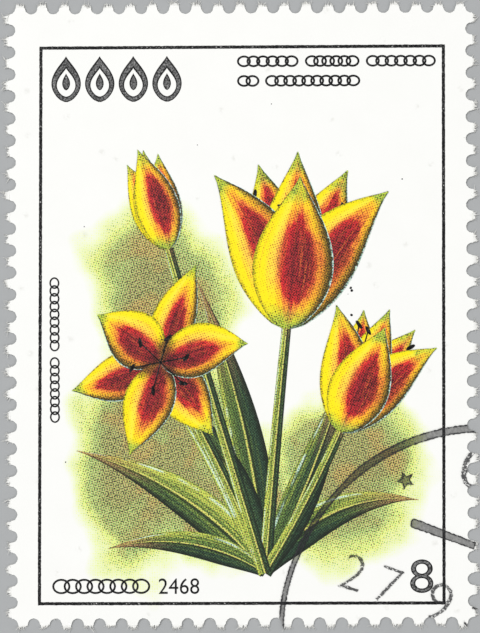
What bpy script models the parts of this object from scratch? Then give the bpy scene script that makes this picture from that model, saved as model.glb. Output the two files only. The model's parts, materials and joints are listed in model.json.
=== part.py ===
"""A used postage stamp: one sheet of thin paper with a comb-perforated, torn edge, lying on its back.

Metres, +Z up. The origin is under the middle of the sheet, on the surface it lies on. +X runs to the right
of the printed face, +Y to its top, and +Z out of it. The gummed back is the flat face at Z = 0.
"""

import math
import random

import bpy

HOLE_COLUMNS = 21  # steps between hole centres across the sheet
HOLE_ROWS = 28  # steps between hole centres up the sheet
HOLE_GRID_WIDTH = 0.033  # between the left and right lines of hole centres
HOLE_PITCH = HOLE_GRID_WIDTH / HOLE_COLUMNS
HOLE_GRID_HEIGHT = HOLE_PITCH * HOLE_ROWS
HOLE_RADIUS = 0.000435
ARC_STEPS = 8  # straight steps in the half circle that a perforation leaves

PAPER_THICKNESS = 0.0001

# The paper between two holes tears a little beyond the line of hole centres, and each tooth tears differently.
TOOTH_REACH = 0.00042  # the longest tooth of each side
SHORTEST_TOOTH = 0.45  # the shortest tooth, as a share of the longest
LOWEST_FIBRE = 0.7  # the lowest point of a torn tip, as a share of its tooth's reach
TIP_PLACES = (0.1, 0.5, 0.88)  # where a torn tip has its points, as shares of the tooth's width
TEAR_SEED = 12

PAPER_COLOUR = (0.91, 0.9, 0.86, 1.0)
PAPER_ROUGHNESS = 0.55


def clear_scene():
    """Remove whatever the scene holds."""
    for obj in list(bpy.data.objects):
        bpy.data.objects.remove(obj)


def torn_tips(count, draw):
    """How far each point of each tooth's torn tip reaches past the line of hole centres, on one side."""
    teeth = []
    for _ in range(count):
        reach = draw.uniform(SHORTEST_TOOTH, 1)
        teeth.append([reach * draw.uniform(LOWEST_FIBRE, 1) for _ in TIP_PLACES])
    stretch = TOOTH_REACH / max(max(tips) for tips in teeth)
    return [[stretch * tip for tip in tips] for tips in teeth]


def point_beside(centre, along, outward, forward, out):
    """The point that lies this far forward along a side from centre, and this far out from the side."""
    return (
        centre[0] + forward * along[0] + out * outward[0],
        centre[1] + forward * along[1] + out * outward[1],
    )


def half_hole(centre, along, outward, turn):
    """The edge that a perforation leaves, from the tooth before it round through this turn."""
    steps = max(2, round(ARC_STEPS * turn / math.pi))
    angles = [turn * step / steps for step in range(steps + 1)]
    return [
        point_beside(
            centre,
            along,
            outward,
            -HOLE_RADIUS * math.cos(angle),
            -HOLE_RADIUS * math.sin(angle),
        )
        for angle in angles
    ]


def torn_tooth(centre, along, outward, tips):
    """The torn tip between the hole at centre and the next one."""
    width = HOLE_PITCH - 2 * HOLE_RADIUS
    return [
        point_beside(centre, along, outward, HOLE_RADIUS + place * width, tip)
        for place, tip in zip(TIP_PLACES, tips)
    ]


def stamp_outline():
    """The sheet's outline, anticlockwise from its lower left corner hole."""
    draw = random.Random(TEAR_SEED)
    half_width = HOLE_GRID_WIDTH / 2
    half_height = HOLE_GRID_HEIGHT / 2
    sides = (
        ((-half_width, -half_height), (1, 0), HOLE_COLUMNS),
        ((half_width, -half_height), (0, 1), HOLE_ROWS),
        ((half_width, half_height), (-1, 0), HOLE_COLUMNS),
        ((-half_width, half_height), (0, -1), HOLE_ROWS),
    )
    outline = []
    for corner, along, steps in sides:
        outward = (along[1], -along[0])
        for step, tips in enumerate(torn_tips(steps, draw)):
            centre = point_beside(corner, along, outward, step * HOLE_PITCH, 0)
            outline += torn_tooth(centre, along, outward, tips)
            following = point_beside(centre, along, outward, HOLE_PITCH, 0)
            turn = math.pi if step < steps - 1 else math.pi / 2
            outline += half_hole(following, along, outward, turn)
    return outline


def paper_material():
    """Coated white stamp paper."""
    material = bpy.data.materials.new("stamp_paper")
    material.use_nodes = True
    shader = material.node_tree.nodes["Principled BSDF"]
    shader.inputs["Base Color"].default_value = PAPER_COLOUR
    shader.inputs["Roughness"].default_value = PAPER_ROUGHNESS
    shader.inputs["Metallic"].default_value = 0
    return material


def make_stamp_paper(collection):
    """The perforated sheet: its flat outline, filled and as thick as the paper."""
    curve = bpy.data.curves.new("stamp_paper", "CURVE")
    curve.dimensions = "2D"
    curve.fill_mode = "BOTH"
    curve.extrude = PAPER_THICKNESS / 2
    outline = stamp_outline()
    spline = curve.splines.new("POLY")
    spline.points.add(len(outline) - 1)
    for point, (x, y) in zip(spline.points, outline):
        point.co = (x, y, 0, 1)
    spline.use_cyclic_u = True
    curve.materials.append(paper_material())
    paper = bpy.data.objects.new("stamp_paper", curve)
    paper.location.z = PAPER_THICKNESS / 2
    collection.objects.link(paper)


def main():
    clear_scene()
    collection = bpy.data.collections.new("postage_stamp")
    bpy.context.scene.collection.children.link(collection)
    make_stamp_paper(collection)


main()
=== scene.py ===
"""The looks of a used postage stamp: torn, perforated paper, its print, and part of a postmark.

All places are in metres in the part's own frame: the origin is under the middle of the sheet, +X runs to the
right of the printed face, +Y to its top, and +Z out of it. Ink is modelled as films a few thousandths of a
millimetre thick, stacked in the order in which they were printed, so that later ink covers earlier ink.
"""

import json
import logging
import math
import random
from contextlib import contextmanager
from dataclasses import dataclass, field
from enum import Enum
from typing import Callable, Iterator, Sequence, Union

import bpy
from mathutils import Euler, Matrix, Vector

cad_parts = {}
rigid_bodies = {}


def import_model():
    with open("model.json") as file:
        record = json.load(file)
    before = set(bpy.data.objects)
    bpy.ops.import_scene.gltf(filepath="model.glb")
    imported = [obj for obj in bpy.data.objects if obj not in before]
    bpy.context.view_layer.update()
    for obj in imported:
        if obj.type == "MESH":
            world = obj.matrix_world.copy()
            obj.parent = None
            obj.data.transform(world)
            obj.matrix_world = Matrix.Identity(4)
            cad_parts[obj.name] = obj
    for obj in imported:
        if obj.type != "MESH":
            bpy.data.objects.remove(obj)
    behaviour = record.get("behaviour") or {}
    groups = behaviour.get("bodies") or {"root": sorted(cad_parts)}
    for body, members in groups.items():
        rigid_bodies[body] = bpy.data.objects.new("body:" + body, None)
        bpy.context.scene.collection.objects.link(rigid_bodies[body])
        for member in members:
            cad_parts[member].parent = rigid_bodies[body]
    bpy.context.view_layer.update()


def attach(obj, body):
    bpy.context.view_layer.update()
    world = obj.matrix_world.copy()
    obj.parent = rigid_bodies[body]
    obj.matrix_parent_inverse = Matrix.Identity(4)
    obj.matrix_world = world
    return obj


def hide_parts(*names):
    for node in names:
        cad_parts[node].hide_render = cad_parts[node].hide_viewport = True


MM = 0.001
PAPER_THICKNESS = 0.1 * MM
INK_LAYER = 0.003 * MM  # how much higher each layer of ink lies than the one before
INK_SINK = 0.002 * MM  # how far a film of ink reaches into what it is printed on
GRID_STEP = 0.75 * MM  # flat pieces are cut along one shared grid, so that all of them cockle alike
CUT_NEAR = 0.0002 * MM  # how close a point has to be to a cut to count as on it
SCREEN_LINES = 5.9 / MM  # rows of coloured dots to a metre of print
SCREEN_TURNS = (18.4, 71.6, 0.0)  # the angles of the coloured inks' rows, in degrees
UV_NAME = "UVMap"
NODE = "stamp_paper"
BODY = "root"

Piece = bpy.types.Object
Material = bpy.types.Material
Colour = tuple[float, float, float, float]
Point = tuple[float, float]
Value = Union[float, Sequence[float], "Wire"]

WHITE: Colour = (1, 1, 1, 1)

log = logging.getLogger("stamp")


def mm(*lengths: float) -> tuple[float, ...]:
    """Lengths given in millimetres, in metres."""
    return tuple(length * MM for length in lengths)


def tint(red: int, green: int, blue: int) -> Colour:
    """The linear colour for a colour as it is seen, whose parts run from 0 to 255."""
    parts = (part / 255 for part in (red, green, blue))
    return (*(part / 12.92 if part <= 0.04045 else ((part + 0.055) / 1.055) ** 2.4 for part in parts), 1.0)


def store(obj: Piece, name: str, value: Callable[[Vector], float]) -> None:
    """Store a number at each point of a mesh, for its material to read.

    Args:
        obj: the mesh object.
        name: the number's name.
        value: takes a point's place and gives its number.
    """
    attribute = obj.data.attributes.new(name, "FLOAT", "POINT")
    for vertex, item in zip(obj.data.vertices, attribute.data):
        item.value = value(vertex.co)


def deselect_all() -> None:
    """Leave no object selected."""
    for obj in bpy.context.view_layer.objects:
        obj.select_set(False)


def take(obj: Piece) -> None:
    """Select one object alone and make it the active one."""
    deselect_all()
    obj.select_set(True)
    bpy.context.view_layer.objects.active = obj


@contextmanager
def editing(obj: Piece, everything: bool = True) -> Iterator[None]:
    """Edit one object's mesh.

    Args:
        obj: the object to edit.
        everything: whether all of its mesh is selected first.
    """
    take(obj)
    bpy.ops.object.mode_set(mode="EDIT")
    bpy.ops.mesh.select_mode(type="VERT")
    if everything:
        bpy.ops.mesh.select_all(action="SELECT")
    yield
    bpy.ops.object.mode_set(mode="OBJECT")


def select_where(obj: Piece, test: Callable[[Vector], bool]) -> None:
    """Select the vertices whose place passes a test, and nothing else.

    Args:
        obj: a mesh object in object mode.
        test: takes a vertex's place and says whether it is wanted.
    """
    for part in (*obj.data.polygons, *obj.data.edges):
        part.select = False
    for vertex in obj.data.vertices:
        vertex.select = test(vertex.co)


def added(name: str, operator: Callable[..., set], **settings: object) -> Piece:
    """Add a new object.

    Args:
        name: what it is called.
        operator: the one of Blender's own operators that adds it.
        settings: the operator's settings.

    Returns:
        The object, which alone is selected.
    """
    deselect_all()
    operator(**settings)
    bpy.context.object.name = name
    return bpy.context.object


def apply_modifiers(obj: Piece) -> None:
    """Apply every modifier of one object, in order."""
    take(obj)
    for modifier in list(obj.modifiers):
        bpy.ops.object.modifier_apply(modifier=modifier.name)


def settle_place(obj: Piece) -> None:
    """Move an object's place, turn and scale into its mesh, with its faces still pointing out."""
    take(obj)
    bpy.ops.object.transform_apply(location=True, rotation=True, scale=True)


def place(obj: Piece, at: Point = (0, 0), turn: float = 0, scale: Point = (1, 1)) -> Piece:
    """Scale, turn and move a flat piece on the sheet.

    Args:
        obj: the piece.
        at: where its own origin goes.
        turn: the angle that it is turned by, anticlockwise, in radians.
        scale: how much it is stretched along its own X and Y first.

    Returns:
        The piece.
    """
    obj.scale = (*scale, 1)
    obj.rotation_euler = Euler((0, 0, turn))
    obj.location = (*at, 0)
    settle_place(obj)
    return obj


def copy_of(obj: Piece, name: str) -> Piece:
    """A copy of an object with its own mesh."""
    made = obj.copy()
    made.data = obj.data.copy()
    made.name = made.data.name = name
    bpy.context.scene.collection.objects.link(made)
    return made


def join(pieces: Sequence[Piece], name: str) -> Piece:
    """Join several objects into one.

    Args:
        pieces: the objects, of which the first keeps its materials' order.
        name: what the joined object is called.

    Returns:
        The joined object.
    """
    take(pieces[0])
    for piece in pieces:
        piece.select_set(True)
    bpy.ops.object.join()
    pieces[0].name = pieces[0].data.name = name
    return pieces[0]


def cut_across(axis: int, distance: float, side: int = 1) -> None:
    """Cut the mesh that is being edited across one of its axes.

    Args:
        axis: the axis, from 0 to 2.
        distance: how far from the origin the cut is.
        side: on which side of the origin it is, 1 or -1.
    """
    normal = Vector((0, 0, 0))
    normal[axis] = side
    bpy.ops.mesh.select_all(action="SELECT")
    bpy.ops.mesh.bisect(plane_co=distance * normal, plane_no=normal, threshold=CUT_NEAR)


def cut_along_grid(obj: Piece, step: float = GRID_STEP) -> None:
    """Cut a flat mesh along the shared grid, so that it can follow the cockle of the paper.

    Args:
        obj: a flat mesh.
        step: the distance between the grid's lines.
    """
    spots = [vertex.co.copy() for vertex in obj.data.vertices]
    with editing(obj):
        for axis in (0, 1):
            places = [spot[axis] for spot in spots]
            for line in range(math.floor(min(places) / step) + 1, math.ceil(max(places) / step)):
                cut_across(axis, step * line)


def stray(obj: Piece, direction: str, scale: float, reach: float, middle: float = 0.5) -> None:
    """Move the points of a mesh by smooth noise that is the same for all pieces.

    Args:
        obj: the piece.
        direction: the axis that the points move along.
        scale: how far apart the noise's bumps are.
        reach: how far the whole range of the noise moves a point.
        middle: the level of the noise that moves nothing.
    """
    name = f"stray_{direction}"
    texture = bpy.data.textures.get(name) or bpy.data.textures.new(name, "CLOUDS")
    texture.noise_scale = scale
    texture.noise_depth = 0
    modifier = obj.modifiers.new(name, "DISPLACE")
    modifier.texture = texture
    modifier.texture_coords = "LOCAL"
    modifier.direction = direction
    modifier.mid_level = middle
    modifier.strength = reach
    apply_modifiers(obj)


def cockle(obj: Piece) -> None:
    """Give a piece the slight waviness of paper that has been wet. All pieces take the same wave."""
    stray(obj, "Z", 12 * MM, 0.07 * MM, 0)


def roughen(obj: Piece, offset: float) -> None:
    """Make the edges of a flat mesh uneven by about this offset, and cut it along the shared grid."""
    cut_along_grid(obj, GRID_STEP / 8)
    stray(obj, "X", 0.12 * MM, 6 * offset)
    stray(obj, "Y", 0.14 * MM, 6 * offset)
    cut_along_grid(obj)


def even_triangles(obj: Piece) -> None:
    """Split a mesh's faces into well-shaped triangles, so that no sliver shows once it is cockled."""
    with editing(obj):
        bpy.ops.mesh.quads_convert_to_tris(quad_method="BEAUTY", ngon_method="BEAUTY")


def thicken(obj: Piece, low: float, high: float) -> None:
    """Turn a flat mesh at Z = 0 into a closed sheet between two heights."""
    with editing(obj):
        bpy.ops.mesh.extrude_region_move(TRANSFORM_OT_translate={"value": (0, 0, high - low)})
        bpy.ops.mesh.select_all(action="SELECT")
        bpy.ops.mesh.normals_make_consistent(inside=False)
    obj.location.z = low
    settle_place(obj)


def keep_inside(obj: Piece, cutter: Piece, crossed: bool = False) -> None:
    """Keep only the part of a closed mesh that lies inside another.

    Args:
        obj: the mesh.
        cutter: the other mesh.
        crossed: whether the first may cross itself, which is slower.
    """
    modifier = obj.modifiers.new("cut", "BOOLEAN")
    modifier.operation = "INTERSECT"
    modifier.object = cutter
    modifier.solver = "EXACT"
    modifier.use_self = crossed
    apply_modifiers(obj)


def smooth_faces(obj: Piece, degrees: float) -> None:
    """Shade a mesh smooth, apart from edges that are sharper than this."""
    take(obj)
    bpy.ops.object.shade_smooth_by_angle(angle=math.radians(degrees))


def print_film(obj: Piece, layer: int) -> None:
    """Make a flat piece a film of ink on the sheet.

    Args:
        obj: the flat piece, at Z = 0.
        layer: its place in the order of printing, from 1.
    """
    even_triangles(obj)
    thicken(obj, PAPER_THICKNESS - INK_SINK, PAPER_THICKNESS + layer * INK_LAYER)
    cockle(obj)
    smooth_faces(obj, 30)


def dressed(obj: Piece, *finishes: Material) -> Piece:
    """Dress a finished piece, and say that it rides on the stamp.

    Args:
        obj: the piece.
        finishes: its materials.

    Returns:
        The piece.
    """
    for finish in finishes:
        obj.data.materials.append(finish)
    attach(obj, BODY)
    log.info("%s: %d faces", obj.name, len(obj.data.polygons))
    return obj


def printed(obj: Piece, layer: int, ink: Material) -> Piece:
    """Make a flat piece a finished film of ink.

    Args:
        obj: the flat piece, at Z = 0.
        layer: its place in the order of printing, from 1.
        ink: its material.

    Returns:
        The piece.
    """
    print_film(obj, layer)
    return dressed(obj, ink)


def flat_disc(name: str, width: float, height: float, sides: int) -> Piece:
    """A flat filled polygon with this many corners, stretched to a width and a height, about the origin."""
    disc = added(name, bpy.ops.mesh.primitive_circle_add, vertices=sides, radius=0.5, fill_type="NGON")
    return place(disc, scale=(width, height))


def flat_bar(name: str, length: float, width: float) -> Piece:
    """A flat strip along X, about the origin."""
    return place(added(name, bpy.ops.mesh.primitive_plane_add, size=1), scale=(length, width))


def flat_box(obj: Piece) -> tuple[Point, Point]:
    """The lower left corner of a flat mesh, and its width and height."""
    xs, ys, _ = zip(*(vertex.co for vertex in obj.data.vertices))
    return (min(xs), min(ys)), (max(xs) - min(xs), max(ys) - min(ys))


def flat_figures(name: str, text: str, weight: float) -> Piece:
    """Figures of Blender's own plain font as one flat mesh, at a size of one unit.

    Args:
        name: the object's name.
        text: the figures.
        weight: how much bolder than usual they are.

    Returns:
        The flat mesh object.
    """
    figures = added(name, bpy.ops.object.text_add)
    figures.data.body = text
    figures.data.offset = weight
    figures.data.resolution_u = 8
    take(figures)
    bpy.ops.object.convert(target="MESH")
    with editing(figures):
        bpy.ops.mesh.remove_doubles(threshold=0.0005)
    return figures


def hollow(obj: Piece, stroke: float) -> None:
    """Leave only a band of this width along the inside of a flat piece's edge."""
    with editing(obj):
        bpy.ops.mesh.inset(thickness=stroke, use_even_offset=True)
        bpy.ops.mesh.delete(type="FACE")


def mark_rim(obj: Piece, width: float) -> None:
    """Add an inner line beside the edge of a flat piece and store, point by point, where its edge is.

    Args:
        obj: a flat mesh.
        width: how far the inner line lies from the edge.
    """
    rim = {tuple(vertex.co) for vertex in obj.data.vertices}
    with editing(obj):
        bpy.ops.mesh.inset(thickness=width, use_even_offset=True)
    store(obj, "rim", lambda co: float(tuple(co) in rim))


@dataclass(frozen=True)
class Wire:
    """A value that runs through a shader tree. Arithmetic with it adds Math nodes to the tree."""

    graph: "Graph"
    socket: bpy.types.NodeSocket

    def __add__(self, other: Value) -> "Wire":
        """The sum."""
        return self.graph.math("ADD", self, other)

    def __sub__(self, other: Value) -> "Wire":
        """The difference."""
        return self.graph.math("SUBTRACT", self, other)

    def __rsub__(self, other: float) -> "Wire":
        """A number less this value."""
        return self.graph.math("SUBTRACT", other, self)

    def __mul__(self, other: Value) -> "Wire":
        """The product."""
        return self.graph.math("MULTIPLY", self, other)

    def __truediv__(self, other: Value) -> "Wire":
        """The quotient."""
        return self.graph.math("DIVIDE", self, other)

    def __pow__(self, other: Value) -> "Wire":
        """The power."""
        return self.graph.math("POWER", self, other)

    def __abs__(self) -> "Wire":
        """The value without its sign."""
        return self.graph.math("ABSOLUTE", self)

    def most(self, other: Value) -> "Wire":
        """The greater of the two."""
        return self.graph.math("MAXIMUM", self, other)

    def step(self, low: Value, high: Value) -> "Wire":
        """Zero where the value is at low, one where it is at high, and smooth in between."""
        inputs = {"Value": self, "From Min": low, "From Max": high}
        return self.graph.value("ShaderNodeMapRange", inputs, "Result", interpolation_type="SMOOTHSTEP")


class Graph:
    """One shader tree or node group while it is being wired."""

    def __init__(self, tree: bpy.types.NodeTree) -> None:
        """Wire this tree."""
        self.tree = tree

    def feed(self, socket: bpy.types.NodeSocket, value: Value) -> None:
        """Link a socket to the value if that is a wire, or else set it."""
        if isinstance(value, Wire):
            self.tree.links.new(value.socket, socket)
        else:
            socket.default_value = value

    def node(self, kind: str, inputs: Union[dict, None] = None, **settings: object) -> bpy.types.Node:
        """Add a node.

        Args:
            kind: the kind of node.
            inputs: what its inputs are fed with, by their names or numbers.
            settings: its own settings.

        Returns:
            The node.
        """
        made = self.tree.nodes.new(kind)
        for name, value in settings.items():
            setattr(made, name, value)
        for key, value in (inputs or {}).items():
            self.feed(made.inputs[key], value)
        return made

    def value(self, kind: str, inputs: Union[dict, None] = None, output: Union[str, int] = 0,
              **settings: object) -> Wire:
        """Add a node, and give one of its outputs, by its name or number."""
        return Wire(self, self.node(kind, inputs, **settings).outputs[output])

    def math(self, operation: str, first: Value, second: Value = 0.0) -> Wire:
        """The result of one Math node."""
        return self.value("ShaderNodeMath", {0: first, 1: second}, operation=operation)

    def length(self, x: Wire, y: Wire) -> Wire:
        """The length of a flat vector with these parts."""
        return self.math("SQRT", x * x + y * y)

    def mix(self, factor: Value, first: Value, second: Value, blend: str = "MIX") -> Wire:
        """Two colours mixed."""
        inputs = {0: factor, 6: first, 7: second}
        return self.value("ShaderNodeMix", inputs, 2, data_type="RGBA", blend_type=blend)

    def paint(self, colour: Value, *coats: tuple[Value, Value]) -> Wire:
        """A colour with coats laid over it in order, each with its cover, from 0 to 1, and its colour."""
        for cover, over in coats:
            colour = self.mix(cover, colour, over)
        return colour

    def ramp(self, factor: Value, *stops: tuple[float, Colour]) -> Wire:
        """The colour at this place between coloured stops."""
        made = self.node("ShaderNodeValToRGB", {0: factor})
        elements = made.color_ramp.elements
        while len(elements) < len(stops):
            elements.new(0.5)
        for element, (position, colour) in zip(elements, stops):
            element.position = position
            element.color = colour
        return Wire(self, made.outputs["Color"])

    def split(self, value: Value, kind: str = "ShaderNodeSeparateXYZ") -> tuple[Wire, ...]:
        """The three parts of a vector, or of a colour with that kind of node."""
        return tuple(Wire(self, socket) for socket in self.node(kind, {0: value}).outputs)

    def noise(self, where: Value, scale: float, detail: float = 2.0) -> Wire:
        """Smooth noise from 0 to 1, with this many patches to a unit."""
        return self.value("ShaderNodeTexNoise", {"Vector": where, "Scale": scale, "Detail": detail}, "Fac")

    def attribute(self, name: str) -> Wire:
        """A number stored on the piece's mesh."""
        return self.value("ShaderNodeAttribute", output="Fac", attribute_name=name)


class Shared(Enum):
    """The effects that more than one finish uses."""

    SCREEN = "print_screen"
    PATCHES = "ink_patches"
    GRAIN = "paper_grain"


class SharedEffects:
    """Builds each shared effect once, as a node group."""

    @staticmethod
    def get(effect: Shared) -> bpy.types.NodeTree:
        """The node group of a shared effect."""
        builders = {
            Shared.SCREEN: SharedEffects._screen,
            Shared.PATCHES: SharedEffects._patches,
            Shared.GRAIN: SharedEffects._grain,
        }
        return bpy.data.node_groups.get(effect.value) or builders[effect](effect.value)

    @staticmethod
    def _start(
        name: str, inputs: dict[str, str], outputs: dict[str, str]
    ) -> tuple[Graph, dict[str, Wire], bpy.types.Node]:
        """Start a new group.

        Args:
            name: the group's name.
            inputs: the kind of each input's socket, by name.
            outputs: the kind of each output's socket, by name.

        Returns:
            A graph to wire it with, the wires of its inputs by name, and its output node.
        """
        tree = bpy.data.node_groups.new(name, "ShaderNodeTree")
        for sockets, way in ((inputs, "INPUT"), (outputs, "OUTPUT")):
            for label, kind in sockets.items():
                tree.interface.new_socket(label, in_out=way, socket_type=f"NodeSocket{kind}")
        graph = Graph(tree)
        sockets = graph.node("NodeGroupInput").outputs
        given = {label: Wire(graph, sockets[label]) for label in inputs}
        return graph, given, graph.node("NodeGroupOutput")

    @staticmethod
    def _screen(name: str) -> bpy.types.NodeTree:
        """The regular dots of a colour print, with the rows of each ink at an angle of their own.

        Their mean is close to the colour. White paper has none, and bright yellow hardly any.
        """
        graph, given, result = SharedEffects._start(
            name, {"Colour": "Color", "Where": "Vector", "Strength": "Float"}, {"Colour": "Color"})
        middle = (graph.noise(given["Where"], 8 / MM, 1) - 0.5) * 1.3 + 0.5

        def rise(degrees: float, lines: float) -> Wire:
            """Zero at the middle of each dot of one ink, and one midway between its dots."""
            inputs = {"Vector": given["Where"], "Angle": math.radians(degrees)}
            turned = graph.value("ShaderNodeVectorRotate", inputs, rotation_type="Z_AXIS")
            waves = [graph.math("COSINE", part * (math.tau * lines)) for part in graph.split(turned)[:2]]
            return middle - (waves[0] + waves[1]) * 0.25

        def surplus(level: Wire, palest: float, spot: Wire) -> Wire:
            """How much more ink the mean has than this spot. Levels past the palest have none."""
            cover = ((palest - level ** 0.45) * 1.2).most(0.0)
            return (cover - (cover - spot).step(-0.12, 0.12)) * cover.step(0.0, 0.12)

        shades = graph.split(given["Colour"], "ShaderNodeSeparateColor")
        grey = graph.value("ShaderNodeRGBToBW", {0: given["Colour"]})
        spots = [rise(degrees, SCREEN_LINES) for degrees in SCREEN_TURNS]
        own = [surplus(shade, 0.97, spot) for shade, spot in zip(shades, spots)]
        black = surplus(grey, 0.66, rise(45.0, 1.21 * SCREEN_LINES))
        common = (own[0] + own[1]) * 0.4 + black * 0.7
        dotted = graph.value("ShaderNodeCombineColor", {
            index: shade * ((common + ink * 0.3) * given["Strength"] + 1.0).most(0.04)
            for index, (shade, ink) in enumerate(zip(shades, own))
        })
        graph.feed(result.inputs["Colour"], dotted)
        return graph.tree

    @staticmethod
    def _patches(name: str) -> bpy.types.NodeTree:
        """A mask of where ink has taken unevenly, from fine noise on broader noise."""
        graph, given, result = SharedEffects._start(
            name, {"Where": "Vector", "Least": "Float", "Most": "Float"}, {"Mask": "Float"})
        both = graph.noise(given["Where"], 0.7 / MM, 2) * 0.2 + graph.noise(given["Where"], 8 / MM, 1) * 0.8
        graph.feed(result.inputs["Mask"], both.step(given["Least"], given["Most"]))
        return graph.tree

    @staticmethod
    def _grain(name: str) -> bpy.types.NodeTree:
        """Felted paper fibre: a height for bump, and a slight change of tone."""
        graph, given, result = SharedEffects._start(
            name, {"Where": "Vector"}, {"Height": "Float", "Tone": "Float"})
        where = given["Where"]
        x, y, z = graph.split(where)
        drawn_out = graph.value("ShaderNodeCombineXYZ", {0: x * 0.3, 1: y, 2: z})
        height = graph.noise(where, 14 / MM, 3) * 0.6 + graph.noise(drawn_out, 9 / MM, 2) * 0.4
        graph.feed(result.inputs["Height"], height)
        graph.feed(result.inputs["Tone"], graph.noise(where, 0.4 / MM, 4))
        return graph.tree


class Finish(Graph):
    """The shader tree of one new opaque material."""

    def __init__(self, name: str, roughness: float, specular: float = 0.5) -> None:
        """Start the material.

        Args:
            name: the material's name.
            roughness: its roughness where nothing is linked to that socket.
            specular: how strongly it shines.
        """
        self.material = bpy.data.materials.new(name)
        self.material.use_nodes = True
        super().__init__(self.material.node_tree)
        self.shader = self.tree.nodes["Principled BSDF"]
        self.set("Roughness", roughness)
        self.set("Specular IOR Level", specular)
        self.where = self.value("ShaderNodeTexCoord", output="Object")

    def set(self, name: str, value: Value) -> None:
        """Feed one of the shader's inputs."""
        self.feed(self.shader.inputs[name], value)

    def effect(self, effect: Shared, **values: Value) -> bpy.types.Node:
        """A node that applies a shared effect with these inputs, at each point's own place."""
        inputs = {"Where": self.where, **values}
        return self.node("ShaderNodeGroup", inputs, node_tree=SharedEffects.get(effect))

    def bump(self, height: Wire, depth: float, strength: float) -> None:
        """Drive the normal from a height of this depth, in metres."""
        inputs = {"Distance": depth, "Strength": strength, "Height": height}
        self.set("Normal", self.value("ShaderNodeBump", inputs, "Normal"))

    def screened(self, colour: Wire, strength: float) -> Wire:
        """A colour broken into printed dots, which show this strongly."""
        return Wire(self, self.effect(Shared.SCREEN, Colour=colour, Strength=strength).outputs["Colour"])

    def patches(self, least: float, most: float) -> Wire:
        """A mask of uneven ink between two levels of noise."""
        return Wire(self, self.effect(Shared.PATCHES, Least=least, Most=most).outputs["Mask"])

    def grain(self) -> tuple[Wire, Wire]:
        """The height of the paper's fibre, and its slight change of tone."""
        made = self.effect(Shared.GRAIN)
        return Wire(self, made.outputs["Height"]), Wire(self, made.outputs["Tone"])

    def clouds(self, count: float, detail: float = 2.0) -> Wire:
        """Smooth noise over the piece, with this many patches to a millimetre."""
        return self.noise(self.where, count / MM, detail)


@dataclass(frozen=True)
class Wash:
    """One soft patch of the airbrushed ground behind the picture."""

    centre: Point
    radii: Point
    turn: float  # degrees, anticlockwise
    weight: float = 1.0


@dataclass(frozen=True)
class PaperFront:
    """Coated white paper with the picture's soft ground printed on it."""

    white: Colour = (0.955, 0.955, 0.93, 1)
    torn: Colour = (0.74, 0.74, 0.715, 1)
    dull: Colour = (0.985, 0.985, 0.982, 1)
    smudge: Colour = tint(226, 226, 222)
    pale: Colour = tint(240, 248, 190)
    lime: Colour = tint(218, 230, 135)
    green: Colour = tint(166, 182, 112)
    olive: Colour = tint(150, 150, 94)
    tan: Colour = tint(170, 148, 88)
    washes: tuple[Wash, ...] = (
        Wash(mm(-6.4, -9.4), mm(6.2, 10.0), -10),
        Wash(mm(-5.6, 1.6), mm(5.4, 7.4), 30, 0.9),
        Wash(mm(-1.4, -13.0), mm(6.8, 5.4), 4, 0.95),
        Wash(mm(7.6, -11.4), mm(6.2, 7.2), -32, 0.92),
    )
    hole_line: Point = mm(16.5, 22.0)

    def _ground(self, finish: Finish) -> Wire:
        """How strongly the ground is sprayed, from 0 outside it to 1 in its middle."""
        wobble = (finish.clouds(0.2) - 0.5) * 0.8
        total: Value = 0.0
        for wash in self.washes:
            inputs = {"Vector": finish.where, "Location": (*wash.centre, 0), "Scale": (*wash.radii, 1),
                      "Rotation": (0, 0, math.radians(wash.turn))}
            x, y, _ = finish.split(finish.value("ShaderNodeMapping", inputs, vector_type="TEXTURE"))
            near = (finish.length(x, y) + wobble).step(1.12, 0.2)
            total = (near * wash.weight).most(total)
        return total

    def _torn_edge(self, finish: Finish) -> Wire:
        """A mask of the torn tips, which have lost their coating."""
        x, y, _ = finish.split(finish.where)
        past = (abs(x) - self.hole_line[0]).most(abs(y) - self.hole_line[1])
        fray = finish.clouds(12, 3) * (0.5 * MM)
        return (past + fray).step(0.24 * MM, 0.66 * MM)

    def make(self) -> Material:
        """The material of the printed face."""
        finish = Finish("paper_front", 0.5, 0.3)
        height, tone = finish.grain()
        ground = self._ground(finish)
        colour = finish.ramp(ground, (0.0, self.white), (0.02, self.white), (0.13, self.pale),
                             (0.28, self.lime), (0.46, self.green), (0.78, self.olive))
        sprayed = ground.step(0.25, 0.7)
        warm = finish.clouds(0.34).step(0.5, 0.64) * sprayed
        cool = finish.clouds(0.27).step(0.46, 0.34) * sprayed
        colour = finish.paint(colour, (warm * 0.75, self.tan), (cool * 0.6, self.green))
        colour = finish.paint(finish.screened(colour, 1.6), (self._torn_edge(finish), self.torn))
        inputs = {"Vector": finish.where, "Scale": 0.22 / MM}
        specks = finish.value("ShaderNodeTexVoronoi", inputs, "Distance", voronoi_dimensions="2D")
        smudge = specks.step(0.075, 0.01) * finish.clouds(3.5, 3).step(0.4, 0.62)
        colour = finish.mix(smudge * 0.45, colour, self.smudge, "MULTIPLY")
        tone = finish.ramp(tone, (0.25, self.dull), (0.7, WHITE))
        finish.set("Base Color", finish.mix(1.0, colour, tone, "MULTIPLY"))
        finish.set("Roughness", height * 0.2 + 0.42)
        finish.bump(height, 0.006 * MM, 0.5)
        return finish.material


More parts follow.
